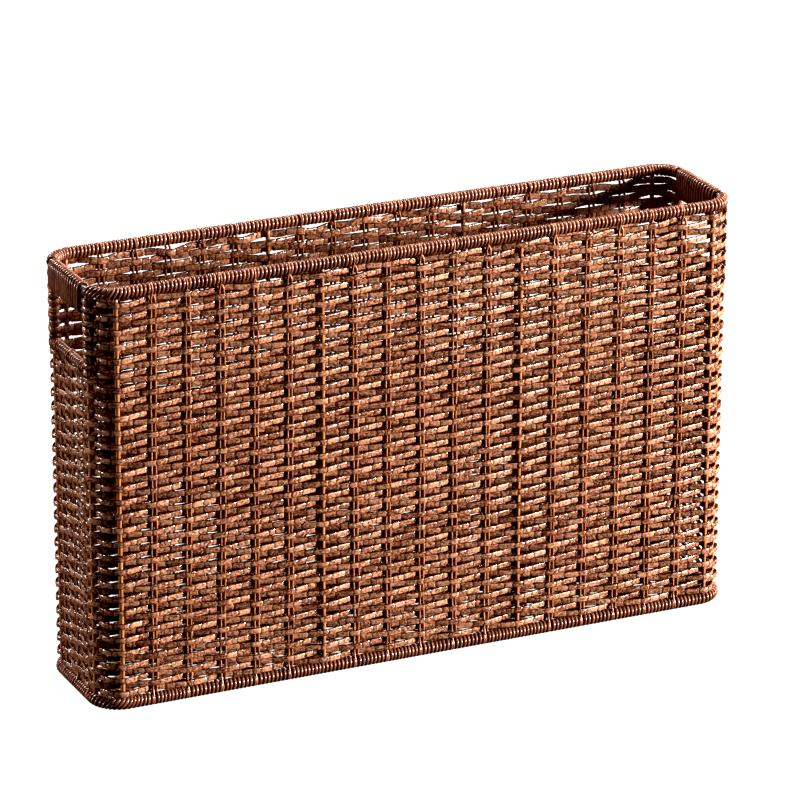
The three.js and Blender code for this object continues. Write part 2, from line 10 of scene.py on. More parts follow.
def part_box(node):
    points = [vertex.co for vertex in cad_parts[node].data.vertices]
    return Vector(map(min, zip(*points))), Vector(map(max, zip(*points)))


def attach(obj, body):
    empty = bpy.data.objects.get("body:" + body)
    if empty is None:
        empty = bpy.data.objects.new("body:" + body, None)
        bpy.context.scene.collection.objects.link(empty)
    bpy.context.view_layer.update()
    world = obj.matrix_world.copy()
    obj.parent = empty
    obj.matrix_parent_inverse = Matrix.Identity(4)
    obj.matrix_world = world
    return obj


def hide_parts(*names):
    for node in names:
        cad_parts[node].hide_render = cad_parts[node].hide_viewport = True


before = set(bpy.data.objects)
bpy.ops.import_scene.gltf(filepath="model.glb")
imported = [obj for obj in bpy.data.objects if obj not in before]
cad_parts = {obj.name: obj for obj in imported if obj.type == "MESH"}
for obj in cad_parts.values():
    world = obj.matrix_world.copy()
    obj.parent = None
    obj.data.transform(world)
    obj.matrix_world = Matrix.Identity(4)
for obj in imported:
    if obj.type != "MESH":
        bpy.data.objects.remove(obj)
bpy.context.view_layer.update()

# All lengths are in millimetres, unless a comment says otherwise. BEND is the radius of the rims'
# corners, and FIT the gap between a strand and what it passes.
MM = 0.001
BEND = 18.4
FIT = 0.05

# Rods. The uprights are drawn thinner than the room that the strands leave for them.
CORE_RADIUS = 2.5
ROD_RADIUS = 1.75
UPRIGHT_RADIUS = 1.55
SILL_WIRE_RADIUS = 1.7
ROD_SIDES = 16
RIM_STEP = 3.0
UPRIGHT_POINTS = 60
SHORT_ROD_POINTS = 24
UPRIGHT_SWAY = 0.12
UPRIGHT_SWAY_RUN = 31

# Rows of strands. Those above the full rows turn back beside the hand holes. The last ones lie
# loose, each looser by a step than the one below.
ROW_PITCH = 4.93
FIRST_ROW_Z = 11.3
ROW_COUNT = 57
FULL_ROWS = 46
LOOSE_ROWS = 3
LOOSENESS_STEP = 2.4
ROWS_PER_PIECE = 9
STRAND_HEIGHT = 4.42
END_STRAND_HEIGHT = 3.75
BACK_STRAND_HEIGHT = 5.15
STRAND_DEPTH = 1.9
STRAND_SIDES = 14
STRAND_SQUARENESS = 2.4
BEND_SHARPNESS = 0.93
CURL_STEPS = 8
CURL_TAIL = 4.0

# Unevenness of the rows: size, run along the wall, run up it and start of each shared wave,
# and the runs and range of sizes of each row's own waves
SHARED_WAVES = ((0.30, 41, 37, 0.0), (0.22, 17.3, 23, 2.1))
OWN_WAVES = (61.0, 27.0, 13.0)
OWN_WAVE_SIZE = (0.04, 0.09)
WAVE_START = (0, 6.28)

# Blocks of a strand. A stretch longer than the longest block and its slack is split, so that it
# leaves a rest.
BLOCK_SHORTEST = 5.5
BLOCK_LONGEST = 11.0
BLOCK_SLACK = 1.5
BLOCK_REST = 4
BLOCK_LEAST = 3
BLOCK_SIZE = (0.95, 1.03)
BLOCK_BOW = (0.5, 1.3)
BLOCK_TONE = 0.5
BLOCK_ROLL = math.radians(2.5)

# Creases between the blocks. Each lies at one of the sides of a stake, or at random between.
CREASE_HALF_WIDTH = 0.65
CREASE_DEPTH = (0.18, 0.42)
CREASE_HEIGHT_SHARE = 0.75
CREASE_SIDES = (-4.0, 2.2)
CREASE_CHANCE = 0.7
CREASE_SCATTER = 0.5
CREASE_MARGIN = 2.5
RING_STEP = 1.3
KNOT_CHANCE = 0.42
KNOT_SCATTER = 1.0
FAR_AWAY = 100.0

# Cords of the stakes. Their straight stretches lie a shift outside and inside the wall's line and
# keep clear of the rods that the loops go round.
CORD_RADIUS = 0.88
CORD_SPACING = 3.1
CORD_SIDES = 8
CORD_STEP = 1.6
CORD_ROUNDING = 0.9
LEG_SHIFT = 0.2
LEG_CLEAR = 7.5
LOOP_RADIUS = 3.5
LOOP_CORD_GAP = 1.1
LOOP_FOOT = 6
SILL_LOOP_RADIUS = 3.9
SILL_LEG_CLEAR = 8
BASE_CORD_REACH = 7.5

# Arcs of a stake's cord round a rod: first and last angle in degrees, and number of points
LOOP_ARC = (-55, 235, 16)
OUTER_FOOT_ARC = (-100, 55, 10)
INNER_FOOT_ARC = (125, 165, 4)
UNDER_ARC = (165, 250, 6)

# Unevenness of the stakes: how their cords' distance varies, and how they stray as they rise
STAKE_SEED = 300
PAIR_SCATTER = (-0.15, 0.15)
END_PAIR_SCATTER = (-0.2, 0.1)
PAIR_SWAY = 0.45
PAIR_SWAY_RUNS = (27, 11)
PAIR_SWAY_STEP = 1.7
SWAY_HEAD = 9
SWAY_FOOT = 8
SWAY_EASE = 8
STAKE_SWAY = 0.18
STAKE_SWAY_RUN = 19
END_STAKE_SWAY = 0.15
END_STAKE_SWAY_RUN = 17

# Windings. Spreads and phases are shares of a turn. The turns of a corner lean most at a share of
# its arc.
WIND_RADIUS = 0.9
WIND_HALF_WIDTH = 1.22
WIND_SQUARENESS = 2.3
WIND_SIDES = 10
WIND_PITCH = 2.78
WIND_STEPS = 18
WIND_JITTER = 0.07
WIND_END_GAP = 0.6
SILL_TURNS = 19
SILL_HALF_WIDTH = 1.08
HANDLE_TURNS = 16
HANDLE_HALF_WIDTH = 1.42
HANDLE_LOOSENESS = 0.3
HANDLE_GAP = 3.0
CORNER_LEAN = 2.8
CORNER_LEAN_REACH = 13.0
TOP_LEAN_SHARE = 0.4
BOTTOM_LEAN_SHARE = 0.1
LOOP_ROOM = 1.8
LOOP_SPREAD = 0.16
LOOP_SHIFT = 1.1
UPRIGHT_ROOM = 1.4
UPRIGHT_SPREAD = 0.5
END_SPREAD = 0.01
BELOW, ABOVE = 0.0, 0.5

# Weave of the base
BASE_SEED = 9000
BASE_END_SHARE = 0.8
BASE_WOBBLE = 0.15
BASE_WOBBLE_RUN = 23
BASE_WOBBLE_STEP = 0.7

# How far each stake and upright of the front leans sideways at its head and at its foot, from
# the left corner to the right one. Those of the back lean the same way, by a share of it.
LEAN_HEAD = (
    0.2, 1.6, 1.8, 1.5, 1.0, 1.0, 0.2, -1.0, -1.0, -0.4,
    -0.5, 0.3, 0.7, 1.6, 1.8, 2.0, 2.2, 1.8, 0.4,
)
LEAN_FOOT = (
    -0.6, -1.8, -1.2, -0.8, -0.4, 0.0, 0.2, 0.1, -0.3, 0.2,
    0.3, 0.6, 0.7, 1.4, 1.6, 2.0, 2.2, 1.4, 0.3,
)
BACK_LEAN_SHARE = 0.6

# The camera, fitted to the photograph's outline, and the floor. Distances are in metres.
CAMERA_AZIMUTH = math.radians(-24.984)
CAMERA_ELEVATION = math.radians(20.672)
CAMERA_ROLL = math.radians(0.1)
CAMERA_DISTANCE = 3.318
CAMERA_TARGET = Vector((0, 0, 0.150))
CAMERA_LENS = 217.76
CAMERA_SENSOR = 36
CAMERA_SHIFT = (0.0079, 0.0377)
FLOOR_HALF_WIDTH = 8.0


def nodes_named(start):
    """Names of the frame's nodes that start so, in the order of their numbers."""
    return sorted(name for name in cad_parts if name.startswith(start))


def middle(node):
    """The middle of a CAD node's box, in millimetres."""
    low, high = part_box(node)
    return np.array((low + high) / 2) / MM


rim_low, rim_high = (np.array(corner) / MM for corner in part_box("top_rim_rod"))
rod_half = (rim_high[2] - rim_low[2]) / 2
RIM_X = rim_high[0] - rod_half
RIM_Y = rim_high[1] - rod_half
TOP_Z = middle("top_rim_rod")[2]
BOTTOM_Z = middle("bottom_rim_rod")[2]
GRIP_Z = middle("left_grip_rod")[2]
SILL_Z = middle("left_sill_rod")[2]
STRAIGHT_X = RIM_X - BEND
STRAIGHT_Y = RIM_Y - BEND
ARC = BEND * math.pi / 2
ROUND = 4 * (STRAIGHT_X + ARC + STRAIGHT_Y)


def plan(s):
    """Places and outward directions round the rim's line. s is 0 at the middle of the front and
    grows towards the right end, the back and the left end."""
    s = np.asarray(s, float) % ROUND
    runs = (
        (STRAIGHT_X, 0.0, (0.0, -RIM_Y)),
        (ARC, 1.0, (STRAIGHT_X, -STRAIGHT_Y)),
        (2 * STRAIGHT_Y, 0.0, (RIM_X, -STRAIGHT_Y)),
        (ARC, 1.0, (STRAIGHT_X, STRAIGHT_Y)),
        (2 * STRAIGHT_X, 0.0, (STRAIGHT_X, RIM_Y)),
        (ARC, 1.0, (-STRAIGHT_X, STRAIGHT_Y)),
        (2 * STRAIGHT_Y, 0.0, (-RIM_X, STRAIGHT_Y)),
        (ARC, 1.0, (-STRAIGHT_X, -STRAIGHT_Y)),
        (STRAIGHT_X, 0.0, (-STRAIGHT_X, -RIM_Y)),
    )
    place = np.zeros(s.shape + (2,))
    out = np.zeros(s.shape + (2,))
    start, heading = 0.0, 0.0
    for length, bends, anchor in runs:
        here = (s >= start) & (s <= start + length)
        gone = s[here] - start
        angle = heading + bends * gone / BEND
        out[here] = np.stack([np.sin(angle), -np.cos(angle)], -1)
        along = np.array([math.cos(heading), math.sin(heading)])
        if bends:
            place[here] = np.array(anchor) + BEND * out[here]
        else:
            place[here] = np.array(anchor) + gone[:, None] * along
        start += length
        heading += bends * math.pi / 2
    return place, out


def line_place(x, y):
    """The arc length round the rim's line of a stake or rod at x, y."""
    sign_x, sign_y = math.copysign(1, x), math.copysign(1, y)
    over_x, over_y = abs(x) - STRAIGHT_X, abs(y) - STRAIGHT_Y
    if over_x <= 0:
        s = abs(x)
    elif over_y <= 0:
        s = STRAIGHT_X + ARC - over_y
    else:
        s = STRAIGHT_X + BEND * math.atan2(over_x, over_y)
    if sign_y > 0:
        s = ROUND / 2 - s
    return s * sign_x % ROUND


# Mesh building


def unit(vectors):
    return vectors / np.linalg.norm(vectors, axis=-1, keepdims=True)


def axes(points, facing, closed=False):
    """Directions along a line of points, towards facing, and across both."""
    if closed:
        along = np.roll(points, -1, 0) - np.roll(points, 1, 0)
    else:
        along = np.gradient(points, axis=0)
    along = unit(along)
    facing = np.broadcast_to(facing, points.shape)
    out = unit(facing - (facing * along).sum(-1, keepdims=True) * along)
    return along, out, np.cross(along, out)


def section(sides, squareness):
    """Points round a section that is one unit deep and one unit high each way."""
    angle = 2 * math.pi * np.arange(sides) / sides
    power = 2 / squareness
    depth = np.sign(np.cos(angle)) * np.abs(np.cos(angle)) ** power
    height = np.sign(np.sin(angle)) * np.abs(np.sin(angle)) ** power
    return depth, height


class Skein:
    """Strands gathered into one mesh, with the values that their material reads."""

    def __init__(self):
        self.rings = []

    def add(self, rings, grain, shade, closed=False):
        """rings, grain and shade hold three numbers for each point of each ring."""
        self.rings.append((rings, grain, shade, closed))

    def build(self, name, material, slot, *nodes):
        """Makes one piece of the strands so far. It stands for the nodes."""
        places, grains, shades, quads, caps = [], [], [], [], []
        start = 0
        for rings, grain, shade, closed in self.rings:
            count, sides = rings.shape[:2]
            places.append(rings.reshape(-1, 3))
            grains.append(grain.reshape(-1, 3))
            shades.append(shade.reshape(-1, 3))
            ring = np.arange(count if closed else count - 1)[:, None]
            side = np.arange(sides)[None, :]
            after = (ring + 1) % count
            turn = (side + 1) % sides
            corners = [ring * sides + side, ring * sides + turn, after * sides + turn, after * sides + side]
            quads.append(start + np.stack(corners, -1).reshape(-1, 4))
            if not closed:
                caps.append(start + np.arange(sides)[::-1])
                caps.append(start + (count - 1) * sides + np.arange(sides))
            start += count * sides
        quads = np.concatenate(quads)
        places = np.concatenate(places) * MM
        starts = np.concatenate([4 * np.arange(len(quads)), 4 * len(quads) + caps_start(caps)])
        loops = np.concatenate([quads.ravel()] + caps)
        mesh = bpy.data.meshes.new(name)
        mesh.vertices.add(len(places))
        mesh.vertices.foreach_set("co", places.astype(np.float32).ravel())
        mesh.loops.add(len(loops))
        mesh.loops.foreach_set("vertex_index", loops.astype(np.int32))
        mesh.polygons.add(len(starts))
        mesh.polygons.foreach_set("loop_start", starts.astype(np.int32))
        mesh.update(calc_edges=True)
        mesh.shade_smooth()
        for label, values in (("grain", grains), ("shade", shades)):
            layer = mesh.attributes.new(label, "FLOAT_VECTOR", "POINT")
            layer.data.foreach_set("vector", np.concatenate(values).astype(np.float32).ravel())
        mesh.materials.append(material)
        piece = bpy.data.objects.new(name, mesh)
        bpy.context.scene.collection.objects.link(piece)
        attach(piece, "root")
        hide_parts(*nodes)


def caps_start(caps):
    """Where each cap's corners start after the quads."""
    sizes = np.array([0] + [len(cap) for cap in caps[:-1]], int)
    return np.cumsum(sizes) if caps else np.zeros(0, int)


def cord(
    skein, points, facing, radius, rng, sides=CORD_SIDES, closed=False, half_width=None, squareness=2
):
    """Adds a cord along points, round unless it has a half width and a squareness of its own."""
    _, out, across = axes(points, facing, closed)
    depth, height = section(sides, squareness)
    deep = radius * depth[None, :, None] * out[:, None]
    wide = (half_width or radius) * height[None, :, None] * across[:, None]
    rings = points[:, None] + deep + wide
    gone = np.concatenate([[0], np.cumsum(np.linalg.norm(np.diff(points, axis=0), axis=1))])
    grain = np.zeros(rings.shape)
    grain[..., 0] = gone[:, None]
    grain[..., 1] = height
    grain[..., 2] = depth
    shade = np.zeros(rings.shape)
    shade[..., 0] = rng.uniform(-1, 1)
    shade[..., 2] = rng.uniform(0, 1)
    skein.add(rings, grain, shade, closed)


def resample(points, step, rounding):
    """Points a step apart along a line of points, with its corners rounded off."""
    fineness = 4
    fine_step = step / fineness
    gone = np.concatenate([[0], np.cumsum(np.linalg.norm(np.diff(points, axis=0), axis=1))])
    fine = np.arange(0, gone[-1], fine_step)
    line = np.stack([np.interp(fine, gone, points[:, k]) for k in range(3)], -1)
    half = int(3 * rounding / fine_step)
    weights = np.exp(-0.5 * (np.arange(-half, half + 1) * fine_step / rounding) ** 2)
    weights /= weights.sum()
    padded = np.concatenate([line[-half:], line, line[:half]])
    smooth = np.stack([np.convolve(padded[:, k], weights, "valid") for k in range(3)], -1)
    return smooth[::fineness]


# Places of the stakes and rods round the wall


class Station:
    """One stake or rod that the strands pass: its place along the line, how far it leans there at
    foot and head, how far the strands clear it, and on which side of it its outer cord lies."""

    def __init__(self, s, reach, foot=0.0, head=0.0, outer_side=-1):
        self.s, self.reach, self.foot, self.head = s, reach, foot, head
        self.outer_side = outer_side

    def at(self, z):
        share = (z - BOTTOM_Z) / (TOP_Z - BOTTOM_Z)
        return self.s + self.foot + (self.head - self.foot) * share


CORD_REACH = CORD_RADIUS + STRAND_DEPTH / 2 + FIT
ROD_REACH = ROD_RADIUS + STRAND_DEPTH / 2 + FIT


def front_line():
    """Stations of the front, from its left corner rod to its right one."""
    rods = [middle(node) for node in nodes_named("front_upright_")]
    stakes = [middle(node) for node in nodes_named("cross_stake_")]
    line = [(line_place(x, y), ROD_REACH) for x, y, _ in rods]
    line += [(line_place(x, -RIM_Y), CORD_REACH) for x, _, _ in stakes]
    line = sorted(((s + ROUND / 2) % ROUND - ROUND / 2, reach) for s, reach in line)
    return [Station(s, reach, LEAN_FOOT[i], LEAN_HEAD[i]) for i, (s, reach) in enumerate(line)]


def end_line():
    """Stations of the right end, from its front rod to its back one."""
    rods = [middle(f"right_{side}_end_upright") for side in ("front", "back")]
    stakes = [middle(node) for node in nodes_named("right_end_stake_")]
    line = [(line_place(x, y), ROD_REACH) for x, y, _ in rods]
    line += [(line_place(RIM_X, y), CORD_REACH) for _, y, _ in stakes]
    return [Station(s, reach) for s, reach in sorted(line)]


front = front_line()
right = end_line()
back = [
    Station(ROUND / 2 - st.s, st.reach, -BACK_LEAN_SHARE * st.foot, -BACK_LEAN_SHARE * st.head, 1)
    for st in front[::-1]
]
left = [Station(ROUND / 2 + st.s, st.reach, outer_side=1) for st in right]


def side_of(row, number):
    """1 where a row passes outside the station with this number, and -1 where it passes inside."""
    return 1 if (row + number) % 2 == 0 else -1


def weave_offset(row, s, z, stations, first):
    """How far a row's middle lies outside the wall's line at s, between stations numbered from
    first on."""
    spots = np.array([st.at(z) for st in stations])
    reach = np.array([side_of(row, first + k) * st.reach for k, st in enumerate(stations)])
    k = np.clip(np.searchsorted(spots, s, side="right") - 1, 0, len(spots) - 2)
    share = np.clip((s - spots[k]) / (spots[k + 1] - spots[k]), 0, 1)
    swing = np.arcsin(BEND_SHARPNESS * np.cos(math.pi * share)) / math.asin(BEND_SHARPNESS)
    return (reach[k] + reach[k + 1]) / 2 + (reach[k] - reach[k + 1]) / 2 * swing


def row_height(row, s, looseness, rng):
    """The height of a row at s: its own height and a slow unevenness that its neighbours share."""
    z = FIRST_ROW_Z + ROW_PITCH * row
    shared = sum(size * np.sin(s / run + z / rise + begin) for size, run, rise, begin in SHARED_WAVES)
    own = np.zeros_like(s)
    for run in OWN_WAVES:
        size = rng.uniform(*OWN_WAVE_SIZE) * (1 + looseness)
        own += size * np.sin(math.pi * s / run + rng.uniform(*WAVE_START))
    return z + shared + own


def block_ends(rng, length, spots, direction):
    """Where a strand is pinched between its blocks: beside most stakes, and at random between."""
    ends = []
    for spot in spots:
        for side in CREASE_SIDES:
            if rng.uniform() < CREASE_CHANCE:
                ends.append(spot + direction * side + rng.normal(0, CREASE_SCATTER))
    ends = sorted(end for end in ends if CREASE_MARGIN < end < length - CREASE_MARGIN)
    marks, last = [], 0.0
    for end in ends + [length]:
        while end - last > BLOCK_LONGEST + BLOCK_SLACK:
            last += rng.uniform(BLOCK_SHORTEST, min(BLOCK_LONGEST, end - last - BLOCK_REST))
            marks.append(last)
        if end < length and end - last > BLOCK_LEAST:
            marks.append(end)
            last = end
    return marks


class Pass:
    """Rings of one strand between two places: where they lie and how the strand is pinched there."""

    def __init__(self, rng, start, stop, spots=()):
        direction = 1 if stop > start else -1
        length = abs(stop - start)
        marks = np.array(block_ends(rng, length, [abs(spot - start) for spot in spots], direction))
        edges = np.concatenate([[0], marks, [length]])
        rings = [np.array([0.0])]
        for i, (low, high) in enumerate(zip(edges[:-1], edges[1:])):
            low += CREASE_HALF_WIDTH * (i > 0)
            high -= CREASE_HALF_WIDTH * (i < len(edges) - 2)
            rings.append(np.linspace(low, high, max(2, int((high - low) / RING_STEP) + 2)))
            if i < len(edges) - 2:
                rings.append(np.array([edges[i + 1]]))
        gone = np.unique(np.concatenate(rings).round(5))
        block = np.clip(np.searchsorted(marks, gone, side="right"), 0, len(marks))
        blocks = len(edges) - 1
        middles = (edges[:-1] + edges[1:]) / 2
        nearest = np.full(len(gone), FAR_AWAY)
        if len(marks):
            nearest = np.abs(gone[:, None] - marks[None, :]).min(axis=1)
        self.gone = gone
        self.s = start + direction * gone
        self.pinch = np.clip(1 - nearest / CREASE_HALF_WIDTH, 0, 1)
        crease_depth = rng.uniform(*CREASE_DEPTH, blocks)[block]
        self.size = 1 - crease_depth * self.pinch
        self.size *= np.interp(gone, middles, rng.uniform(*BLOCK_SIZE, blocks))
        bows = rng.choice([-1, 1], blocks) * rng.uniform(*BLOCK_BOW, blocks)
        self.bow = np.interp(gone, edges[1:], bows)
        self.tone = rng.normal(0, BLOCK_TONE, blocks).clip(-1, 1)[block]
        self.roll = np.interp(gone, middles, rng.normal(0, BLOCK_ROLL, blocks))
        knot = middles + rng.uniform(-KNOT_SCATTER, KNOT_SCATTER, blocks)
        knot[rng.uniform(0, 1, blocks) > KNOT_CHANCE] = -FAR_AWAY
        self.knot = gone - knot[block]


def strand(skein, points, facing, rings, rng, tall=STRAND_HEIGHT):
    """Adds a flat strand along points, pinched into blocks. The rings are a Pass or Joined."""
    along, out, across = axes(points, facing)
    cos, sin = np.cos(rings.roll)[:, None], np.sin(rings.roll)[:, None]
    out, across = out * cos + across * sin, across * cos - out * sin
    depth, height = section(STRAND_SIDES, STRAND_SQUARENESS)
    size = rings.size[:, None]
    deep = STRAND_DEPTH / 2 * size * depth
    high = tall / 2 * (1 - CREASE_HEIGHT_SHARE + CREASE_HEIGHT_SHARE * size) * height
    forward = rings.bow[:, None] * (1 - height**2)
    forward[0] = forward[-1] = 0
    mesh = points[:, None] + deep[..., None] * out[:, None] + high[..., None] * across[:, None]
    mesh += forward[..., None] * along[:, None]
    grain = np.zeros(mesh.shape)
    grain[..., 0] = rings.gone[:, None]
    grain[..., 1] = height
    grain[..., 2] = rings.knot[:, None]
    shade = np.zeros(mesh.shape)
    shade[..., 0] = rings.tone[:, None]
    shade[..., 1] = rings.pinch[:, None]
    shade[..., 2] = rng.uniform(0, 1)
    skein.add(mesh, grain, shade)


class Joined:
    """Several passes and turns, end to end, as the rings of one strand."""

    def __init__(self, parts):
        self.gone = np.concatenate([part.gone for part in parts])
        for name in ("pinch", "size", "bow", "tone", "roll", "knot"):
            setattr(self, name, np.concatenate([getattr(part, name) for part in parts]))


class Turn:
    """Plain rings round a turn."""

    def __init__(self, count, gone, tone):
        self.gone = np.full(count, gone)
        self.pinch = np.zeros(count)
        self.size = np.ones(count)
        self.bow = np.zeros(count)
        self.tone = np.full(count, tone)
        self.roll = np.zeros(count)
        self.knot = np.full(count, FAR_AWAY)


def wall_row(row, stations, first, seed):
    """Rings of a row, points along its middle, the wall's outward directions there, and the row's
    own random numbers."""
    rng = np.random.default_rng(seed + row)
    z = FIRST_ROW_Z + ROW_PITCH * row
    spots = [st.at(z) for st in stations[1:-1]]
    rings = Pass(rng, stations[0].at(0), stations[-1].at(0), spots)
    offset = weave_offset(row, rings.s, z, stations, first)
    place, out = plan(rings.s)
    looseness = max(0, row - (ROW_COUNT - LOOSE_ROWS) + 1) * LOOSENESS_STEP
    height = row_height(row, rings.s, looseness, rng)
    points = np.concatenate([place + offset[:, None] * out, height[:, None]], 1)
    facing = np.concatenate([out, np.zeros((len(out), 1))], 1)
    return rings, points, facing, rng


def curl_points(row, stations, first, at_start, z):
    """Points from a row's end round the outermost rod of its wall, and back along the other side."""
    station = stations[0] if at_start else stations[-1]
    place, out = plan(np.array([station.at(0)]))
    place, out = place[0], out[0]
    along = np.array([-out[1], out[0]]) * (-1 if at_start else 1)
    sign = side_of(row, first + (0 if at_start else len(stations) - 1))
    angle = math.pi * np.arange(1, CURL_STEPS + 1) / CURL_STEPS
    away = sign * np.cos(angle)[:, None] * out + np.sin(angle)[:, None] * along
    tail = place - station.reach * sign * out - CURL_TAIL * along
    flat = np.concatenate([place + station.reach * away, [tail]])
    facing = np.concatenate([sign * away, [-out]])
    level = np.zeros((len(flat), 1))
    return np.concatenate([flat, level + z], 1), np.concatenate([facing, level], 1)


def long_wall(name, node, stations, first, seed, tall):
    """A long wall: full rows in bands, then rows that turn back round the rods beside a hand hole."""
    for band, lowest in enumerate(range(0, FULL_ROWS, ROWS_PER_PIECE)):
        skein = Skein()
        for row in range(lowest, min(lowest + ROWS_PER_PIECE, FULL_ROWS)):
            rings, points, facing, rng = wall_row(row, stations, first, seed)
            strand(skein, points, facing, rings, rng, tall)
        skein.build(f"{name}_band_{band + 1}", strand_material, "strand", node)
    skein = Skein()
    for row in range(FULL_ROWS, ROW_COUNT):
        rings, points, facing, rng = wall_row(row, stations, first, seed)
        start, start_facing = curl_points(row, stations, first, True, points[0, 2])
        end, end_facing = curl_points(row, stations, first, False, points[-1, 2])
        first_turn = Turn(len(start), 0.0, rings.tone[0])
        last_turn = Turn(len(end), rings.gone[-1], rings.tone[-1])
        points = np.concatenate([start[::-1], points, end])
        facing = np.concatenate([start_facing[::-1], facing, end_facing])
        strand(skein, points, facing, Joined([first_turn, rings, last_turn]), rng, tall)
    skein.build(f"{name}_top_band", strand_material, "strand", node)


def end_wall(name, node, stations, first, seed):
    """A short end up to the sill of its hand hole."""
    skein = Skein()
    for row in range(FULL_ROWS):
        rings, points, facing, rng = wall_row(row, stations, first, seed)
        strand(skein, points, facing, rings, rng, END_STRAND_HEIGHT)
    skein.build(name, strand_material, "strand", node)


def base_weave():
    """Strands along the base, over and under its rods and the stakes that cross it."""
    skein = Skein()
    rods = [(middle(node)[0], ROD_REACH) for node in nodes_named("base_rod_")]
    stakes = [(middle(node)[0], CORD_REACH) for node in nodes_named("cross_stake_")]
    crossings = [Station(x, reach) for x, reach in sorted(rods + stakes)]
    low, high = (np.array(corner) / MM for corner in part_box("base_weave"))
    rows = int((high[1] - low[1]) / ROW_PITCH)
    bend = BEND - rod_half * 2
    for row in range(rows):
        rng = np.random.default_rng(BASE_SEED + row)
        y = (row - (rows - 1) / 2) * ROW_PITCH
        corner = max(0, abs(y) + STRAND_HEIGHT / 2 - (high[1] - bend))
        end = high[0] - (bend - math.sqrt(max(0, bend**2 - corner**2)))
        rings = Pass(rng, -end, end)
        offset = weave_offset(row, rings.s, 0, crossings, 0)
        offset = np.where(np.abs(rings.s) > crossings[-1].s, offset * BASE_END_SHARE, offset)
        wobble = BASE_WOBBLE * np.sin(rings.s / BASE_WOBBLE_RUN + row * BASE_WOBBLE_STEP)
        points = np.stack([rings.s, y + wobble, BOTTOM_Z + offset], -1)
        strand(skein, points, np.array([0.0, 0.0, 1.0]), rings, rng)
    skein.build("base_strands", strand_material, "strand", "base_weave")


# Windings


def racetrack(turns, radius, spacing):
    """Sideways and upward places, and directions, of a cord after some turns round one rod, or
    round two rods with one spacing above the other. It starts below and goes outward first."""
    quarter = math.pi * radius / 2
    length = 4 * quarter + 2 * spacing
    gone = (turns % 1) * length
    ends = np.cumsum([quarter, spacing, 2 * quarter, spacing, quarter])
    angle = np.select(
        [gone < ends[0], gone < ends[1], gone < ends[2], gone < ends[3]],
        [gone / radius - math.pi / 2, 0 * gone, (gone - ends[1]) / radius, 0 * gone + math.pi],
        (gone - ends[3]) / radius + math.pi,
    )
    lift = np.select(
        [gone < ends[0], gone < ends[1], gone < ends[2], gone < ends[3]],
        [0 * gone, gone - ends[0], 0 * gone + spacing, ends[3] - gone],
        0 * gone,
    )
    away = np.stack([np.cos(angle), np.sin(angle)], -1)
    return radius * away[..., 0], lift + radius * away[..., 1], away


def wound_course(start, stop, marks, pitch, rng):
    """Turns and arc lengths of a cord wound from start to stop. At each mark it steps over some
    room while it passes a phase: 0 below the rod, half a turn later above it."""
    turns, places = [0.0], [start]
    for mark, room, phase, spread in marks + [(stop, 0.0, BELOW, END_SPREAD)]:
        run = mark - room / 2 - places[-1]
        rest = (phase - spread / 2 - turns[-1]) % 1
        whole = max(0, round(run / pitch - rest))
        turns.append(turns[-1] + whole + rest)
        places.append(mark - room / 2)
        turns.append(turns[-1] + spread)
        places.append(mark + room / 2)
    fine = np.arange(0, turns[-1], 1 / WIND_STEPS)
    half_turns = np.arange(0, turns[-1] + 1, 0.5)
    slips = rng.normal(0, WIND_JITTER, int(2 * turns[-1]) + 3)
    jitter = np.interp(fine, half_turns, slips[: len(half_turns)])
    return fine, np.interp(fine, turns, places) + jitter


def corner_lean(s, corner):
    """How far the top of each turn leans along the rim near one corner."""
    apart = (s - corner + ROUND / 2) % ROUND - ROUND / 2
    return CORNER_LEAN * np.exp(-((apart / CORNER_LEAN_REACH) ** 2))


def winding(skein, course, radius, z, rng, spacing=0.0, half_width=WIND_HALF_WIDTH, lean=0.0):
    """Adds a cord wound along a course round the rod at height z, or round two a spacing apart."""
    turns, s = course
    side, lift, away = racetrack(turns, radius, spacing)
    place, out = plan(s + lean * away[:, 1])
    flat = place + side[:, None] * out
    points = np.concatenate([flat, (z + lift)[:, None]], 1)
    facing = np.concatenate([away[:, :1] * out, away[:, 1:]], 1)
    cord(skein, points, facing, WIND_RADIUS, rng, WIND_SIDES, False, half_width, WIND_SQUARENESS)


def rim_marks(stations, z, loop_shift, upright_phase, loop_phase):
    """Where a rim's winding makes room for the uprights and for the loops of the stakes."""
    marks = []
    for st in stations:
        if st.reach == ROD_REACH:
            marks.append((st.at(z), UPRIGHT_ROOM, upright_phase, UPRIGHT_SPREAD))
        else:
            marks.append((st.at(z) + st.outer_side * loop_shift, LOOP_ROOM, loop_phase, LOOP_SPREAD))
    return marks


def rim_winding(name, ends, marks, z, corner, rng):
    """One half of a rim's winding. Its turns lean near a corner."""
    skein = Skein()
    course = wound_course(ends[0] + WIND_END_GAP, ends[1] - WIND_END_GAP, marks, WIND_PITCH, rng)
    lean = corner_lean(course[1], corner)
    winding(skein, course, CORE_RADIUS + WIND_RADIUS, z, rng, lean=lean)
    skein.build(f"{name}_winding", winding_material, "winding_cord", f"{name}_rim_winding")


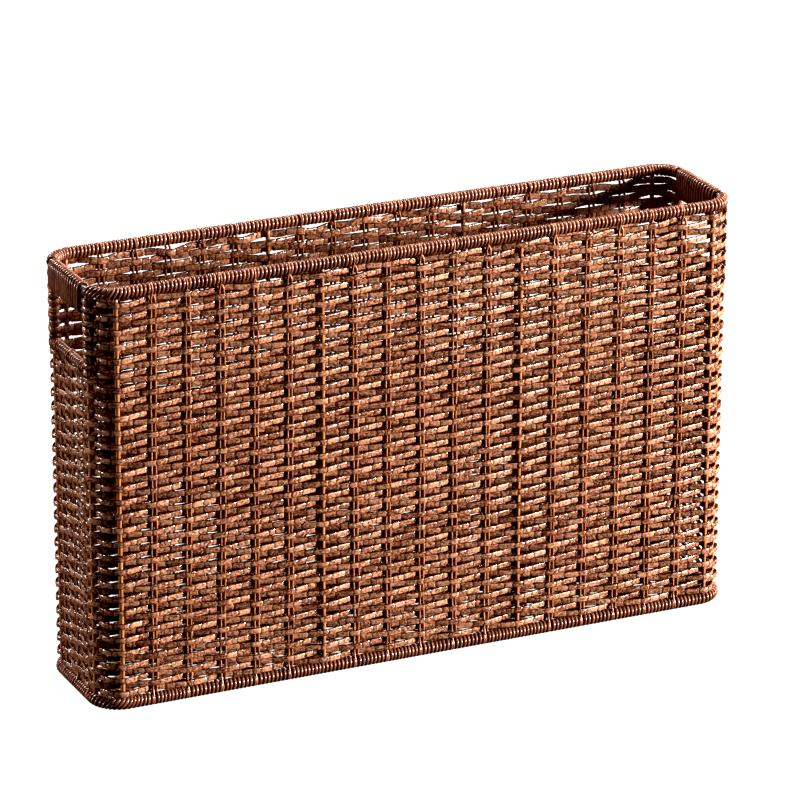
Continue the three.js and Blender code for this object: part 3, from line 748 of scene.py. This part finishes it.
def rim_windings():
    """The top rim's halves end at the grips, and the bottom rim's in the middle of each end."""
    half_end = len(right) // 2
    for name, line, before, after, back_step, centre, seed in (
        ("front", front, left, right, ROUND, 0, 11),
        ("back", back, right, left, 0, ROUND / 2, 12),
    ):
        rng = np.random.default_rng(seed)
        ends = (before[-1].s - back_step, after[0].s)
        marks = rim_marks(line, TOP_Z, LOOP_SHIFT, ABOVE, BELOW)
        rim_winding(f"top_{name}", ends, marks, TOP_Z, line[0].s - ARC * TOP_LEAN_SHARE, rng)

        ends = (centre - ROUND / 4, centre + ROUND / 4)
        stations = [
            Station(st.s - back_step, st.reach, outer_side=st.outer_side)
            for st in before[half_end + 1 :]
        ]
        stations += line + after[:half_end]
        marks = rim_marks(stations, BOTTOM_Z, CORD_SPACING / 2, BELOW, ABOVE)
        rim_winding(f"bottom_{name}", ends, marks, BOTTOM_Z, line[0].s - ARC * BOTTOM_LEAN_SHARE, rng)


def handles():
    """Windings of the grips and sills. The turns of a grip lie looser towards the front and leave a
    gap there. The front is at the end of the left line and at the start of the right one."""
    for name, line, seed in (("left", left, 21), ("right", right, 22)):
        rng = np.random.default_rng(seed)
        low, high = line[0].s + ROD_RADIUS, line[-1].s - ROD_RADIUS
        front_last = name == "left"
        grip_low = low + (0 if front_last else HANDLE_GAP)
        grip_high = high - (HANDLE_GAP if front_last else 0)
        skein = Skein()
        pitch = (grip_high - grip_low) / HANDLE_TURNS
        turns, s = wound_course(grip_low, grip_high, [], pitch, rng)
        share = (s - grip_low) / (grip_high - grip_low)
        bulge = HANDLE_LOOSENESS * share * (share - 1)
        s = s + (grip_high - grip_low) * (bulge if front_last else -bulge)
        grip_radius = CORE_RADIUS + WIND_RADIUS
        winding(skein, (turns, s), grip_radius, GRIP_Z, rng, TOP_Z - GRIP_Z, HANDLE_HALF_WIDTH)
        skein.build(f"{name}_grip_winding", winding_material, "winding_cord", f"{name}_handle_winding")
        skein = Skein()
        pitch = (high - low) / SILL_TURNS
        course = wound_course(low, high, [], pitch, rng)
        winding(skein, course, ROD_RADIUS + WIND_RADIUS, SILL_Z, rng, half_width=SILL_HALF_WIDTH)
        skein.build(f"{name}_sill_cord", winding_material, "winding_cord", f"{name}_sill_winding")


# Rods and stakes


def rod(name, points, radius, facing, node, material, closed=False):
    """A rod along points, as a piece of its own."""
    skein = Skein()
    rng = np.random.default_rng(len(name))
    cord(skein, np.array(points, float), np.array(facing, float), radius, rng, ROD_SIDES, closed)
    skein.build(name, material, "frame_wire", node)


def cross_rod(name, node, z, radius, material):
    """A straight rod across the depth, as long as its node and at the middle of it."""
    low, high = (np.array(corner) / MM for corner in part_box(node))
    y = np.linspace(low[1], high[1], SHORT_ROD_POINTS)
    x = (low[0] + high[0]) / 2
    points = np.stack([x + 0 * y, y, z + 0 * y], -1)
    rod(name, points, radius, (0, 0, 1), node, material)


def frame_rods():
    """The rims' rods, the uprights, and the rods across the base and the ends."""
    s = np.arange(0, ROUND, RIM_STEP)
    place, out = plan(s)
    for name, z in (("top", TOP_Z), ("bottom", BOTTOM_Z)):
        points = np.concatenate([place, np.full((len(s), 1), z)], 1)
        facing = np.concatenate([out, np.zeros((len(s), 1))], 1)
        rod(f"{name}_rim_core", points, CORE_RADIUS, facing, f"{name}_rim_rod", core_shade_material, closed=True)
    heights = np.linspace(BOTTOM_Z + CORE_RADIUS, TOP_Z - CORE_RADIUS, UPRIGHT_POINTS)
    uprights = nodes_named("front_upright_") + nodes_named("back_upright_")
    uprights += [f"{end}_{face}_end_upright" for end in ("left", "right") for face in ("front", "back")]
    for i, node in enumerate(uprights):
        x, y, _ = middle(node)
        sway = UPRIGHT_SWAY * np.sin(heights / UPRIGHT_SWAY_RUN + i)
        points = np.stack([x + sway, y + 0 * heights, heights], -1)
        rod(f"{node}_wire", points, UPRIGHT_RADIUS, (0, 1, 0), node, wire_material)
    for i, node in enumerate(nodes_named("base_rod_")):
        cross_rod(f"base_wire_{i + 1}", node, BOTTOM_Z, ROD_RADIUS, wire_material)
    for end in ("left", "right"):
        for label, z, radius in (("grip", GRIP_Z, CORE_RADIUS), ("sill", SILL_Z, SILL_WIRE_RADIUS)):
            cross_rod(f"{end}_{label}_wire", f"{end}_{label}_rod", z, radius, core_shade_material)


def around(centre_z, radius, first, last, steps):
    """Points of an arc round a rod on the wall's line, from one angle to another in degrees. The
    first number of a point is measured outward, and angle 0 is outward."""
    angle = np.radians(np.linspace(first, last, steps))
    return np.stack([radius * np.cos(angle), centre_z + radius * np.sin(angle)], -1)


def hooked(z, radius, clear):
    """Points of a cord that comes up outside a rod, goes over it and down again inside."""
    return np.concatenate([
        [[LEG_SHIFT, z - clear]],
        around(z, radius, *LOOP_ARC),
        [[-LEG_SHIFT, z - clear]],
    ])


def wall_leg():
    """Points of a stake's cord beside the bottom rim: up from under it, and down inside it."""
    up = np.concatenate([
        around(BOTTOM_Z, LOOP_RADIUS, *OUTER_FOOT_ARC),
        [[LEG_SHIFT, BOTTOM_Z + LEG_CLEAR]],
    ])
    down = np.concatenate([
        [[-LEG_SHIFT, BOTTOM_Z + LEG_CLEAR]],
        around(BOTTOM_Z, LOOP_RADIUS, *INNER_FOOT_ARC),
    ])
    return up, down


def halves(points):
    """The outer and the inner half of a line of points over a rod."""
    return points[: len(points) // 2], points[len(points) // 2 :]


def beside(sign, half, z):
    """How far a stake's cord lies to one side of its middle. Over the rim both lie at one side."""
    over_rim = sign > 0 and z > TOP_Z - LOOP_FOOT
    return -half + LOOP_CORD_GAP if over_rim else sign * half


def closed_cord(points):
    """Points a step apart along a cord whose end meets its start."""
    points = np.array(points)
    return resample(np.concatenate([points, points[:1]]), CORD_STEP, CORD_ROUNDING)


def pair_sway(points, station, i):
    """How far the two cords of a stake stray from each other between the rims, and both sideways."""
    x, z = points[:, 0], points[:, 2]
    apart = np.sign(x - station.at(z))
    apart *= np.clip((TOP_Z - SWAY_HEAD - z) / SWAY_EASE, 0, 1)
    apart *= np.clip((z - BOTTOM_Z - SWAY_FOOT) / SWAY_EASE, 0, 1)
    long_run, short_run = PAIR_SWAY_RUNS
    apart *= PAIR_SWAY * np.sin(z / long_run + PAIR_SWAY_STEP * i) * np.sin(z / short_run + i)
    return apart + STAKE_SWAY * np.sin(z / STAKE_SWAY_RUN + i)


def cross_stakes():
    """Each stake is one closed cord: across the base and up, over and down both long walls."""
    up, down = wall_leg()
    outward, inward = halves(hooked(TOP_Z, LOOP_RADIUS, LEG_CLEAR))
    base = np.array([[-BASE_CORD_REACH, BOTTOM_Z]])
    outer = np.concatenate([base, up, outward])
    inner = np.concatenate([inward, down, base])
    for i, node in enumerate(nodes_named("cross_stake_")):
        rng = np.random.default_rng(STAKE_SEED + i)
        x_middle = middle(node)[0]
        station = min(front, key=lambda st: abs(st.s - x_middle))
        half = CORD_SPACING / 2 + rng.uniform(*PAIR_SCATTER)
        front_points, back_points = [], []
        for sign, outline in ((-1, outer), (1, inner)):
            for across, z in outline:
                x = station.at(z) + beside(sign, half, z)
                front_points.append((x, -RIM_Y - across, z))
        for sign, outline in ((1, inner[::-1]), (-1, outer[::-1])):
            for across, z in outline:
                lean = BACK_LEAN_SHARE * (station.at(z) - station.s)
                x = station.s + lean + beside(sign, half, z)
                back_points.append((x, RIM_Y + across, z))
        points = closed_cord(front_points + back_points)
        points[:, 0] += pair_sway(points, station, i)
        points[:, 2] = np.maximum(points[:, 2], CORD_RADIUS)
        skein = Skein()
        cord(skein, points, np.array([1.0, 0, 0]), CORD_RADIUS, rng, closed=True)
        skein.build(f"stake_cords_{i + 1:02d}", cord_material, "stake_cord", node)


def end_stakes():
    """Each end stake is one closed cord round the bottom rim and the sill."""
    up, down = wall_leg()
    outward, inward = halves(hooked(SILL_Z, SILL_LOOP_RADIUS, SILL_LEG_CLEAR))
    under = around(BOTTOM_Z, LOOP_RADIUS, *UNDER_ARC)
    outer = np.concatenate([up, outward])
    inner = np.concatenate([inward, down, under])
    for end, sign_x, seed in (("left", -1, 400), ("right", 1, 410)):
        for i, node in enumerate(nodes_named(f"{end}_end_stake_")):
            rng = np.random.default_rng(seed + i)
            y_middle = middle(node)[1]
            half = CORD_SPACING / 2 + rng.uniform(*END_PAIR_SCATTER)
            points = []
            for sign, outline in ((-1, outer), (1, inner)):
                for across, z in outline:
                    points.append((sign_x * (RIM_X + across), y_middle + sign * half, z))
            points = closed_cord(points)
            points[:, 1] += END_STAKE_SWAY * np.sin(points[:, 2] / END_STAKE_SWAY_RUN + i)
            points[:, 2] = np.maximum(points[:, 2], CORD_RADIUS)
            skein = Skein()
            cord(skein, points, np.array([0, 1.0, 0]), CORD_RADIUS, rng, closed=True)
            skein.build(f"{end}_stake_cords_{i + 1}", cord_material, "stake_cord", node)


# Materials


def srgb(red, green, blue):
    """A colour given by its display values, as the shaders want it."""
    def linear(value):
        value /= 255
        return value / 12.92 if value <= 0.04045 else ((value + 0.055) / 1.055) ** 2.4
    return (linear(red), linear(green), linear(blue), 1)


STRAND_DARK = srgb(98, 56, 36)
STRAND_PALE = srgb(207, 160, 131)
STRAND_MOTTLE = srgb(80, 42, 24)
# Painted shade: the near-black that the strands' upper and lower edges take where the rows meet, and that
# their creases take, partly as dark joints and partly as painted shade.
STRAND_SHADE_AND_JOINT = srgb(38, 13, 8)
KNOT_HEART = srgb(214, 168, 130)
KNOT_RING = srgb(56, 24, 12)


class Nodes:
    """A material, with short ways to add nodes to its shader."""

    def __init__(self, name):
        self.material = bpy.data.materials.new(name)
        self.material.use_nodes = True
        self.tree = self.material.node_tree
        self.shader = self.tree.nodes["Principled BSDF"]

    def link(self, source, target):
        self.tree.links.new(source, target)

    def feed(self, socket, value):
        if isinstance(value, bpy.types.NodeSocket):
            self.link(value, socket)
        else:
            socket.default_value = value

    def add(self, kind, **settings):
        node = self.tree.nodes.new(kind)
        for key, value in settings.items():
            setattr(node, key, value)
        return node

    def math(self, operation, a, b=0.0):
        node = self.add("ShaderNodeMath", operation=operation)
        self.feed(node.inputs[0], a)
        self.feed(node.inputs[1], b)
        return node.outputs[0]

    def step(self, value, low, high, to_low=0.0, to_high=1.0):
        node = self.add("ShaderNodeMapRange", interpolation_type="SMOOTHSTEP")
        for socket, x in zip(node.inputs, (value, low, high, to_low, to_high)):
            self.feed(socket, x)
        return node.outputs[0]

    def mix(self, share, a, b):
        node = self.add("ShaderNodeMix", data_type="RGBA")
        self.feed(node.inputs["Factor"], share)
        colour_a, colour_b, colour_out = node.inputs[6], node.inputs[7], node.outputs[2]
        self.feed(colour_a, a)
        self.feed(colour_b, b)
        return colour_out

    def values(self, name):
        """The three numbers of a value that each point of a mesh carries."""
        node = self.add("ShaderNodeAttribute", attribute_name=name)
        split = self.add("ShaderNodeSeparateXYZ")
        self.link(node.outputs["Vector"], split.inputs[0])
        return split.outputs

    def vector(self, x, y, z):
        node = self.add("ShaderNodeCombineXYZ")
        for socket, value in zip(node.inputs, (x, y, z)):
            self.feed(socket, value)
        return node.outputs[0]

    def noise(self, x, y, z, scale, detail):
        node = self.add("ShaderNodeTexNoise")
        self.feed(node.inputs["Vector"], self.vector(x, y, z))
        node.inputs["Scale"].default_value = scale
        node.inputs["Detail"].default_value = detail
        return node.outputs["Fac"]

    def scaled(self, value, share):
        return self.math("MULTIPLY", value, share)

    def square(self, value, unit_length):
        return self.math("POWER", self.math("DIVIDE", value, unit_length), 2.0)

    def bump(self, height, strength, distance):
        """Raises the surface, by a distance in metres."""
        node = self.add("ShaderNodeBump")
        self.feed(node.inputs["Height"], height)
        node.inputs["Strength"].default_value = strength
        node.inputs["Distance"].default_value = distance
        self.link(node.outputs[0], self.shader.inputs["Normal"])


# Lengths along a strand or cord come in millimetres, and places across it in half widths.


def make_strand_material():
    """Glossy plastic with streaks along it and ring-shaped marks. Its upper and lower edges carry painted
    shade, and its creases are darkened partly as dark joints and partly as painted shade.
    """
    n = Nodes("glossy_strand")
    along, across, knot = n.values("grain")
    tone, crease, seed = n.values("shade")
    offset = n.scaled(seed, 171.0)
    streaks = n.noise(n.scaled(along, 0.22), n.scaled(across, 2.6), offset, scale=1.6, detail=3.0)
    mottle = n.noise(n.scaled(along, 0.5), across, offset, scale=1.1, detail=2.0)
    pits = n.noise(n.scaled(along, 0.6), n.scaled(across, 1.4), offset, scale=1.2, detail=3.0)

    light = n.math("ADD", n.scaled(tone, 0.16), n.scaled(streaks, 0.9))
    light = n.math("ADD", light, 0.08)
    light = n.math("ADD", light, n.scaled(n.math("SUBTRACT", pits, 0.5), 1.4))
    colour = n.mix(n.step(light, 0.15, 0.95), STRAND_DARK, STRAND_PALE)
    colour = n.mix(n.scaled(n.step(mottle, 0.55, 0.75), 0.3), colour, STRAND_MOTTLE)

    from_knot = n.math("SQRT", n.math("ADD", n.square(knot, 1.5), n.square(across, 0.55)))
    off_ring = n.math("ABSOLUTE", n.math("SUBTRACT", from_knot, 1.0))
    ring = n.math("SUBTRACT", 1.0, n.step(off_ring, 0.1, 0.4))
    heart = n.math("SUBTRACT", 1.0, n.step(from_knot, 0.4, 0.8))
    ring = n.math("MULTIPLY", ring, n.step(mottle, 0.42, 0.6))
    colour = n.mix(n.scaled(heart, 0.3), colour, KNOT_HEART)
    colour = n.mix(n.scaled(ring, 0.7), colour, KNOT_RING)

    # Painted shade along the upper and lower edges, where the rows meet, and in the creases, which are
    # partly dark joints and partly painted shade.
    edge = n.step(n.math("ABSOLUTE", across), 0.72, 0.96)
    outline = n.math("MAXIMUM", crease, edge)
    colour = n.mix(n.scaled(outline, 0.92), colour, STRAND_SHADE_AND_JOINT)
    n.link(colour, n.shader.inputs["Base Color"])
    n.link(n.step(pits, 0.2, 0.8, 0.13, 0.25), n.shader.inputs["Roughness"])
    n.shader.inputs["Specular IOR Level"].default_value = 0.42
    relief = n.math("ADD", n.scaled(streaks, 0.4), n.scaled(pits, 0.5))
    n.bump(n.math("ADD", relief, n.scaled(ring, -0.4)), strength=0.2, distance=0.0003)
    return n.material


def make_cord_material(name, dark, pale, rough):
    """Glossy cord or coated wire, with dark and pale stretches and streaks."""
    n = Nodes(name)
    along, across, depth = n.values("grain")
    _, _, seed = n.values("shade")
    offset = n.scaled(seed, 93.0)
    depth = n.math("ADD", offset, depth)
    streaks = n.noise(n.scaled(along, 0.12), n.scaled(across, 1.2), depth, scale=1.7, detail=3.0)
    slow = n.noise(n.scaled(along, 0.045), offset, 0.0, scale=1.0, detail=2.0)
    light = n.math("ADD", n.scaled(streaks, 0.6), n.scaled(slow, 0.5))
    colour = n.mix(n.step(light, 0.35, 0.8), dark, pale)
    n.link(colour, n.shader.inputs["Base Color"])
    n.link(n.step(streaks, 0.2, 0.8, rough, rough + 0.14), n.shader.inputs["Roughness"])
    n.shader.inputs["Specular IOR Level"].default_value = 0.5
    n.bump(streaks, strength=0.4, distance=0.0002)
    return n.material


strand_material = make_strand_material()
winding_material = make_cord_material(
    "glossy_winding", dark=srgb(100, 63, 48), pale=srgb(160, 114, 90), rough=0.22
)
cord_material = make_cord_material(
    "glossy_stake_cord", dark=srgb(138, 88, 62), pale=srgb(202, 150, 114), rough=0.24
)
wire_material = make_cord_material(
    "golden_wire_coating", dark=srgb(156, 104, 64), pale=srgb(198, 144, 96), rough=0.3
)
# The cores under the windings are near black as painted shade, so that the gaps between the turns look
# dark.
core_shade_material = make_cord_material(
    "core_wire_painted_shade", dark=srgb(40, 14, 8), pale=srgb(64, 26, 14), rough=0.4
)


# The object. The stations are numbered round the wall, and first is the number of a wall's first.

frame_rods()
cross_stakes()
end_stakes()
rim_windings()
handles()
first_right = len(front)
first_back = first_right + len(right)
first_left = first_back + len(back)
front_wall = [Station(left[-1].s - ROUND, ROD_REACH)] + front + [right[0]]
back_wall = [right[-1]] + back + [left[0]]
long_wall("front_strands", "front_weave", front_wall, -1, seed=1000, tall=STRAND_HEIGHT)
long_wall("back_strands", "back_weave", back_wall, first_back - 1, seed=2000, tall=BACK_STRAND_HEIGHT)
end_wall("right_end_strands", "right_end_weave", right, first_right, seed=3000)
end_wall("left_end_strands", "left_end_weave", left, first_left, seed=4000)
base_weave()


# Floor, light and camera, in metres


def make_floor():
    """A white floor, evenly bright, that throws no light back on the basket."""
    n = Nodes("pale_floor")
    for label, value in (
        ("Base Color", (0.1, 0.1, 0.1, 1)),
        ("Emission Color", (1, 1, 1, 1)),
        ("Emission Strength", 1.0),
        ("Roughness", 0.8),
        ("Specular IOR Level", 0.1),
    ):
        n.shader.inputs[label].default_value = value
    half = FLOOR_HALF_WIDTH
    mesh = bpy.data.meshes.new("floor")
    corners = [(-half, -half, 0), (half, -half, 0), (half, half, 0), (-half, half, 0)]
    mesh.from_pydata(corners, [], [(0, 1, 2, 3)])
    mesh.materials.append(n.material)
    floor = bpy.data.objects.new("floor", mesh)
    bpy.context.scene.collection.objects.link(floor)
    floor.visible_diffuse = False
    floor.visible_glossy = False


def add_light(name, azimuth, elevation, distance, width, height, power):
    """A soft light that faces the basket. Angles are in degrees and power in watts. Azimuth 0 is
    in front of the basket, 90 to its right."""
    light = bpy.data.lights.new(name, "AREA")
    light.shape = "RECTANGLE"
    light.energy = power
    light.size = width
    light.size_y = height
    lamp = bpy.data.objects.new(name, light)
    a, e = math.radians(azimuth), math.radians(elevation)
    away = Vector((math.sin(a) * math.cos(e), -math.cos(a) * math.cos(e), math.sin(e)))
    lamp.location = CAMERA_TARGET + away * distance
    lamp.rotation_mode = "QUATERNION"
    lamp.rotation_quaternion = away.to_track_quat("Z", "Y")
    bpy.context.scene.collection.objects.link(lamp)


def make_camera():
    """The camera, where the photograph was taken from."""
    back_way = Vector((
        math.sin(CAMERA_AZIMUTH) * math.cos(CAMERA_ELEVATION),
        -math.cos(CAMERA_AZIMUTH) * math.cos(CAMERA_ELEVATION),
        math.sin(CAMERA_ELEVATION),
    ))
    data = bpy.data.cameras.new("camera")
    data.lens = CAMERA_LENS
    data.sensor_width = CAMERA_SENSOR
    data.shift_x, data.shift_y = CAMERA_SHIFT
    data.clip_start = 0.1
    data.clip_end = 100
    camera = bpy.data.objects.new("camera", data)
    aim = back_way.to_track_quat("Z", "Y").to_matrix().to_4x4()
    roll = Matrix.Rotation(CAMERA_ROLL, 4, "Z")
    camera.matrix_world = Matrix.Translation(CAMERA_TARGET + back_way * CAMERA_DISTANCE) @ aim @ roll
    bpy.context.scene.collection.objects.link(camera)
    bpy.context.scene.camera = camera


def make_world():
    """A faint white surround, and the contrast of the photograph."""
    world = bpy.data.worlds.new("studio")
    world.use_nodes = True
    background = world.node_tree.nodes["Background"]
    background.inputs["Color"].default_value = (1, 1, 1, 1)
    background.inputs["Strength"].default_value = 0.06
    bpy.context.scene.world = world
    view = bpy.context.scene.view_settings
    view.view_transform = "Standard"
    view.gamma = 0.7
    view.use_curve_mapping = True
    view.curve_mapping.black_level = (0.026, 0.028, 0.026)
    view.curve_mapping.update()


make_floor()
make_world()
make_camera()
add_light("key", azimuth=57, elevation=10, distance=3.8, width=0.7, height=0.8, power=530)
add_light("edge", azimuth=96, elevation=56, distance=2.0, width=0.8, height=0.8, power=70)
add_light("left", azimuth=-110, elevation=3, distance=2.4, width=0.5, height=0.3, power=50)
add_light("back_left", azimuth=-158, elevation=40, distance=2.4, width=0.6, height=0.8, power=80)
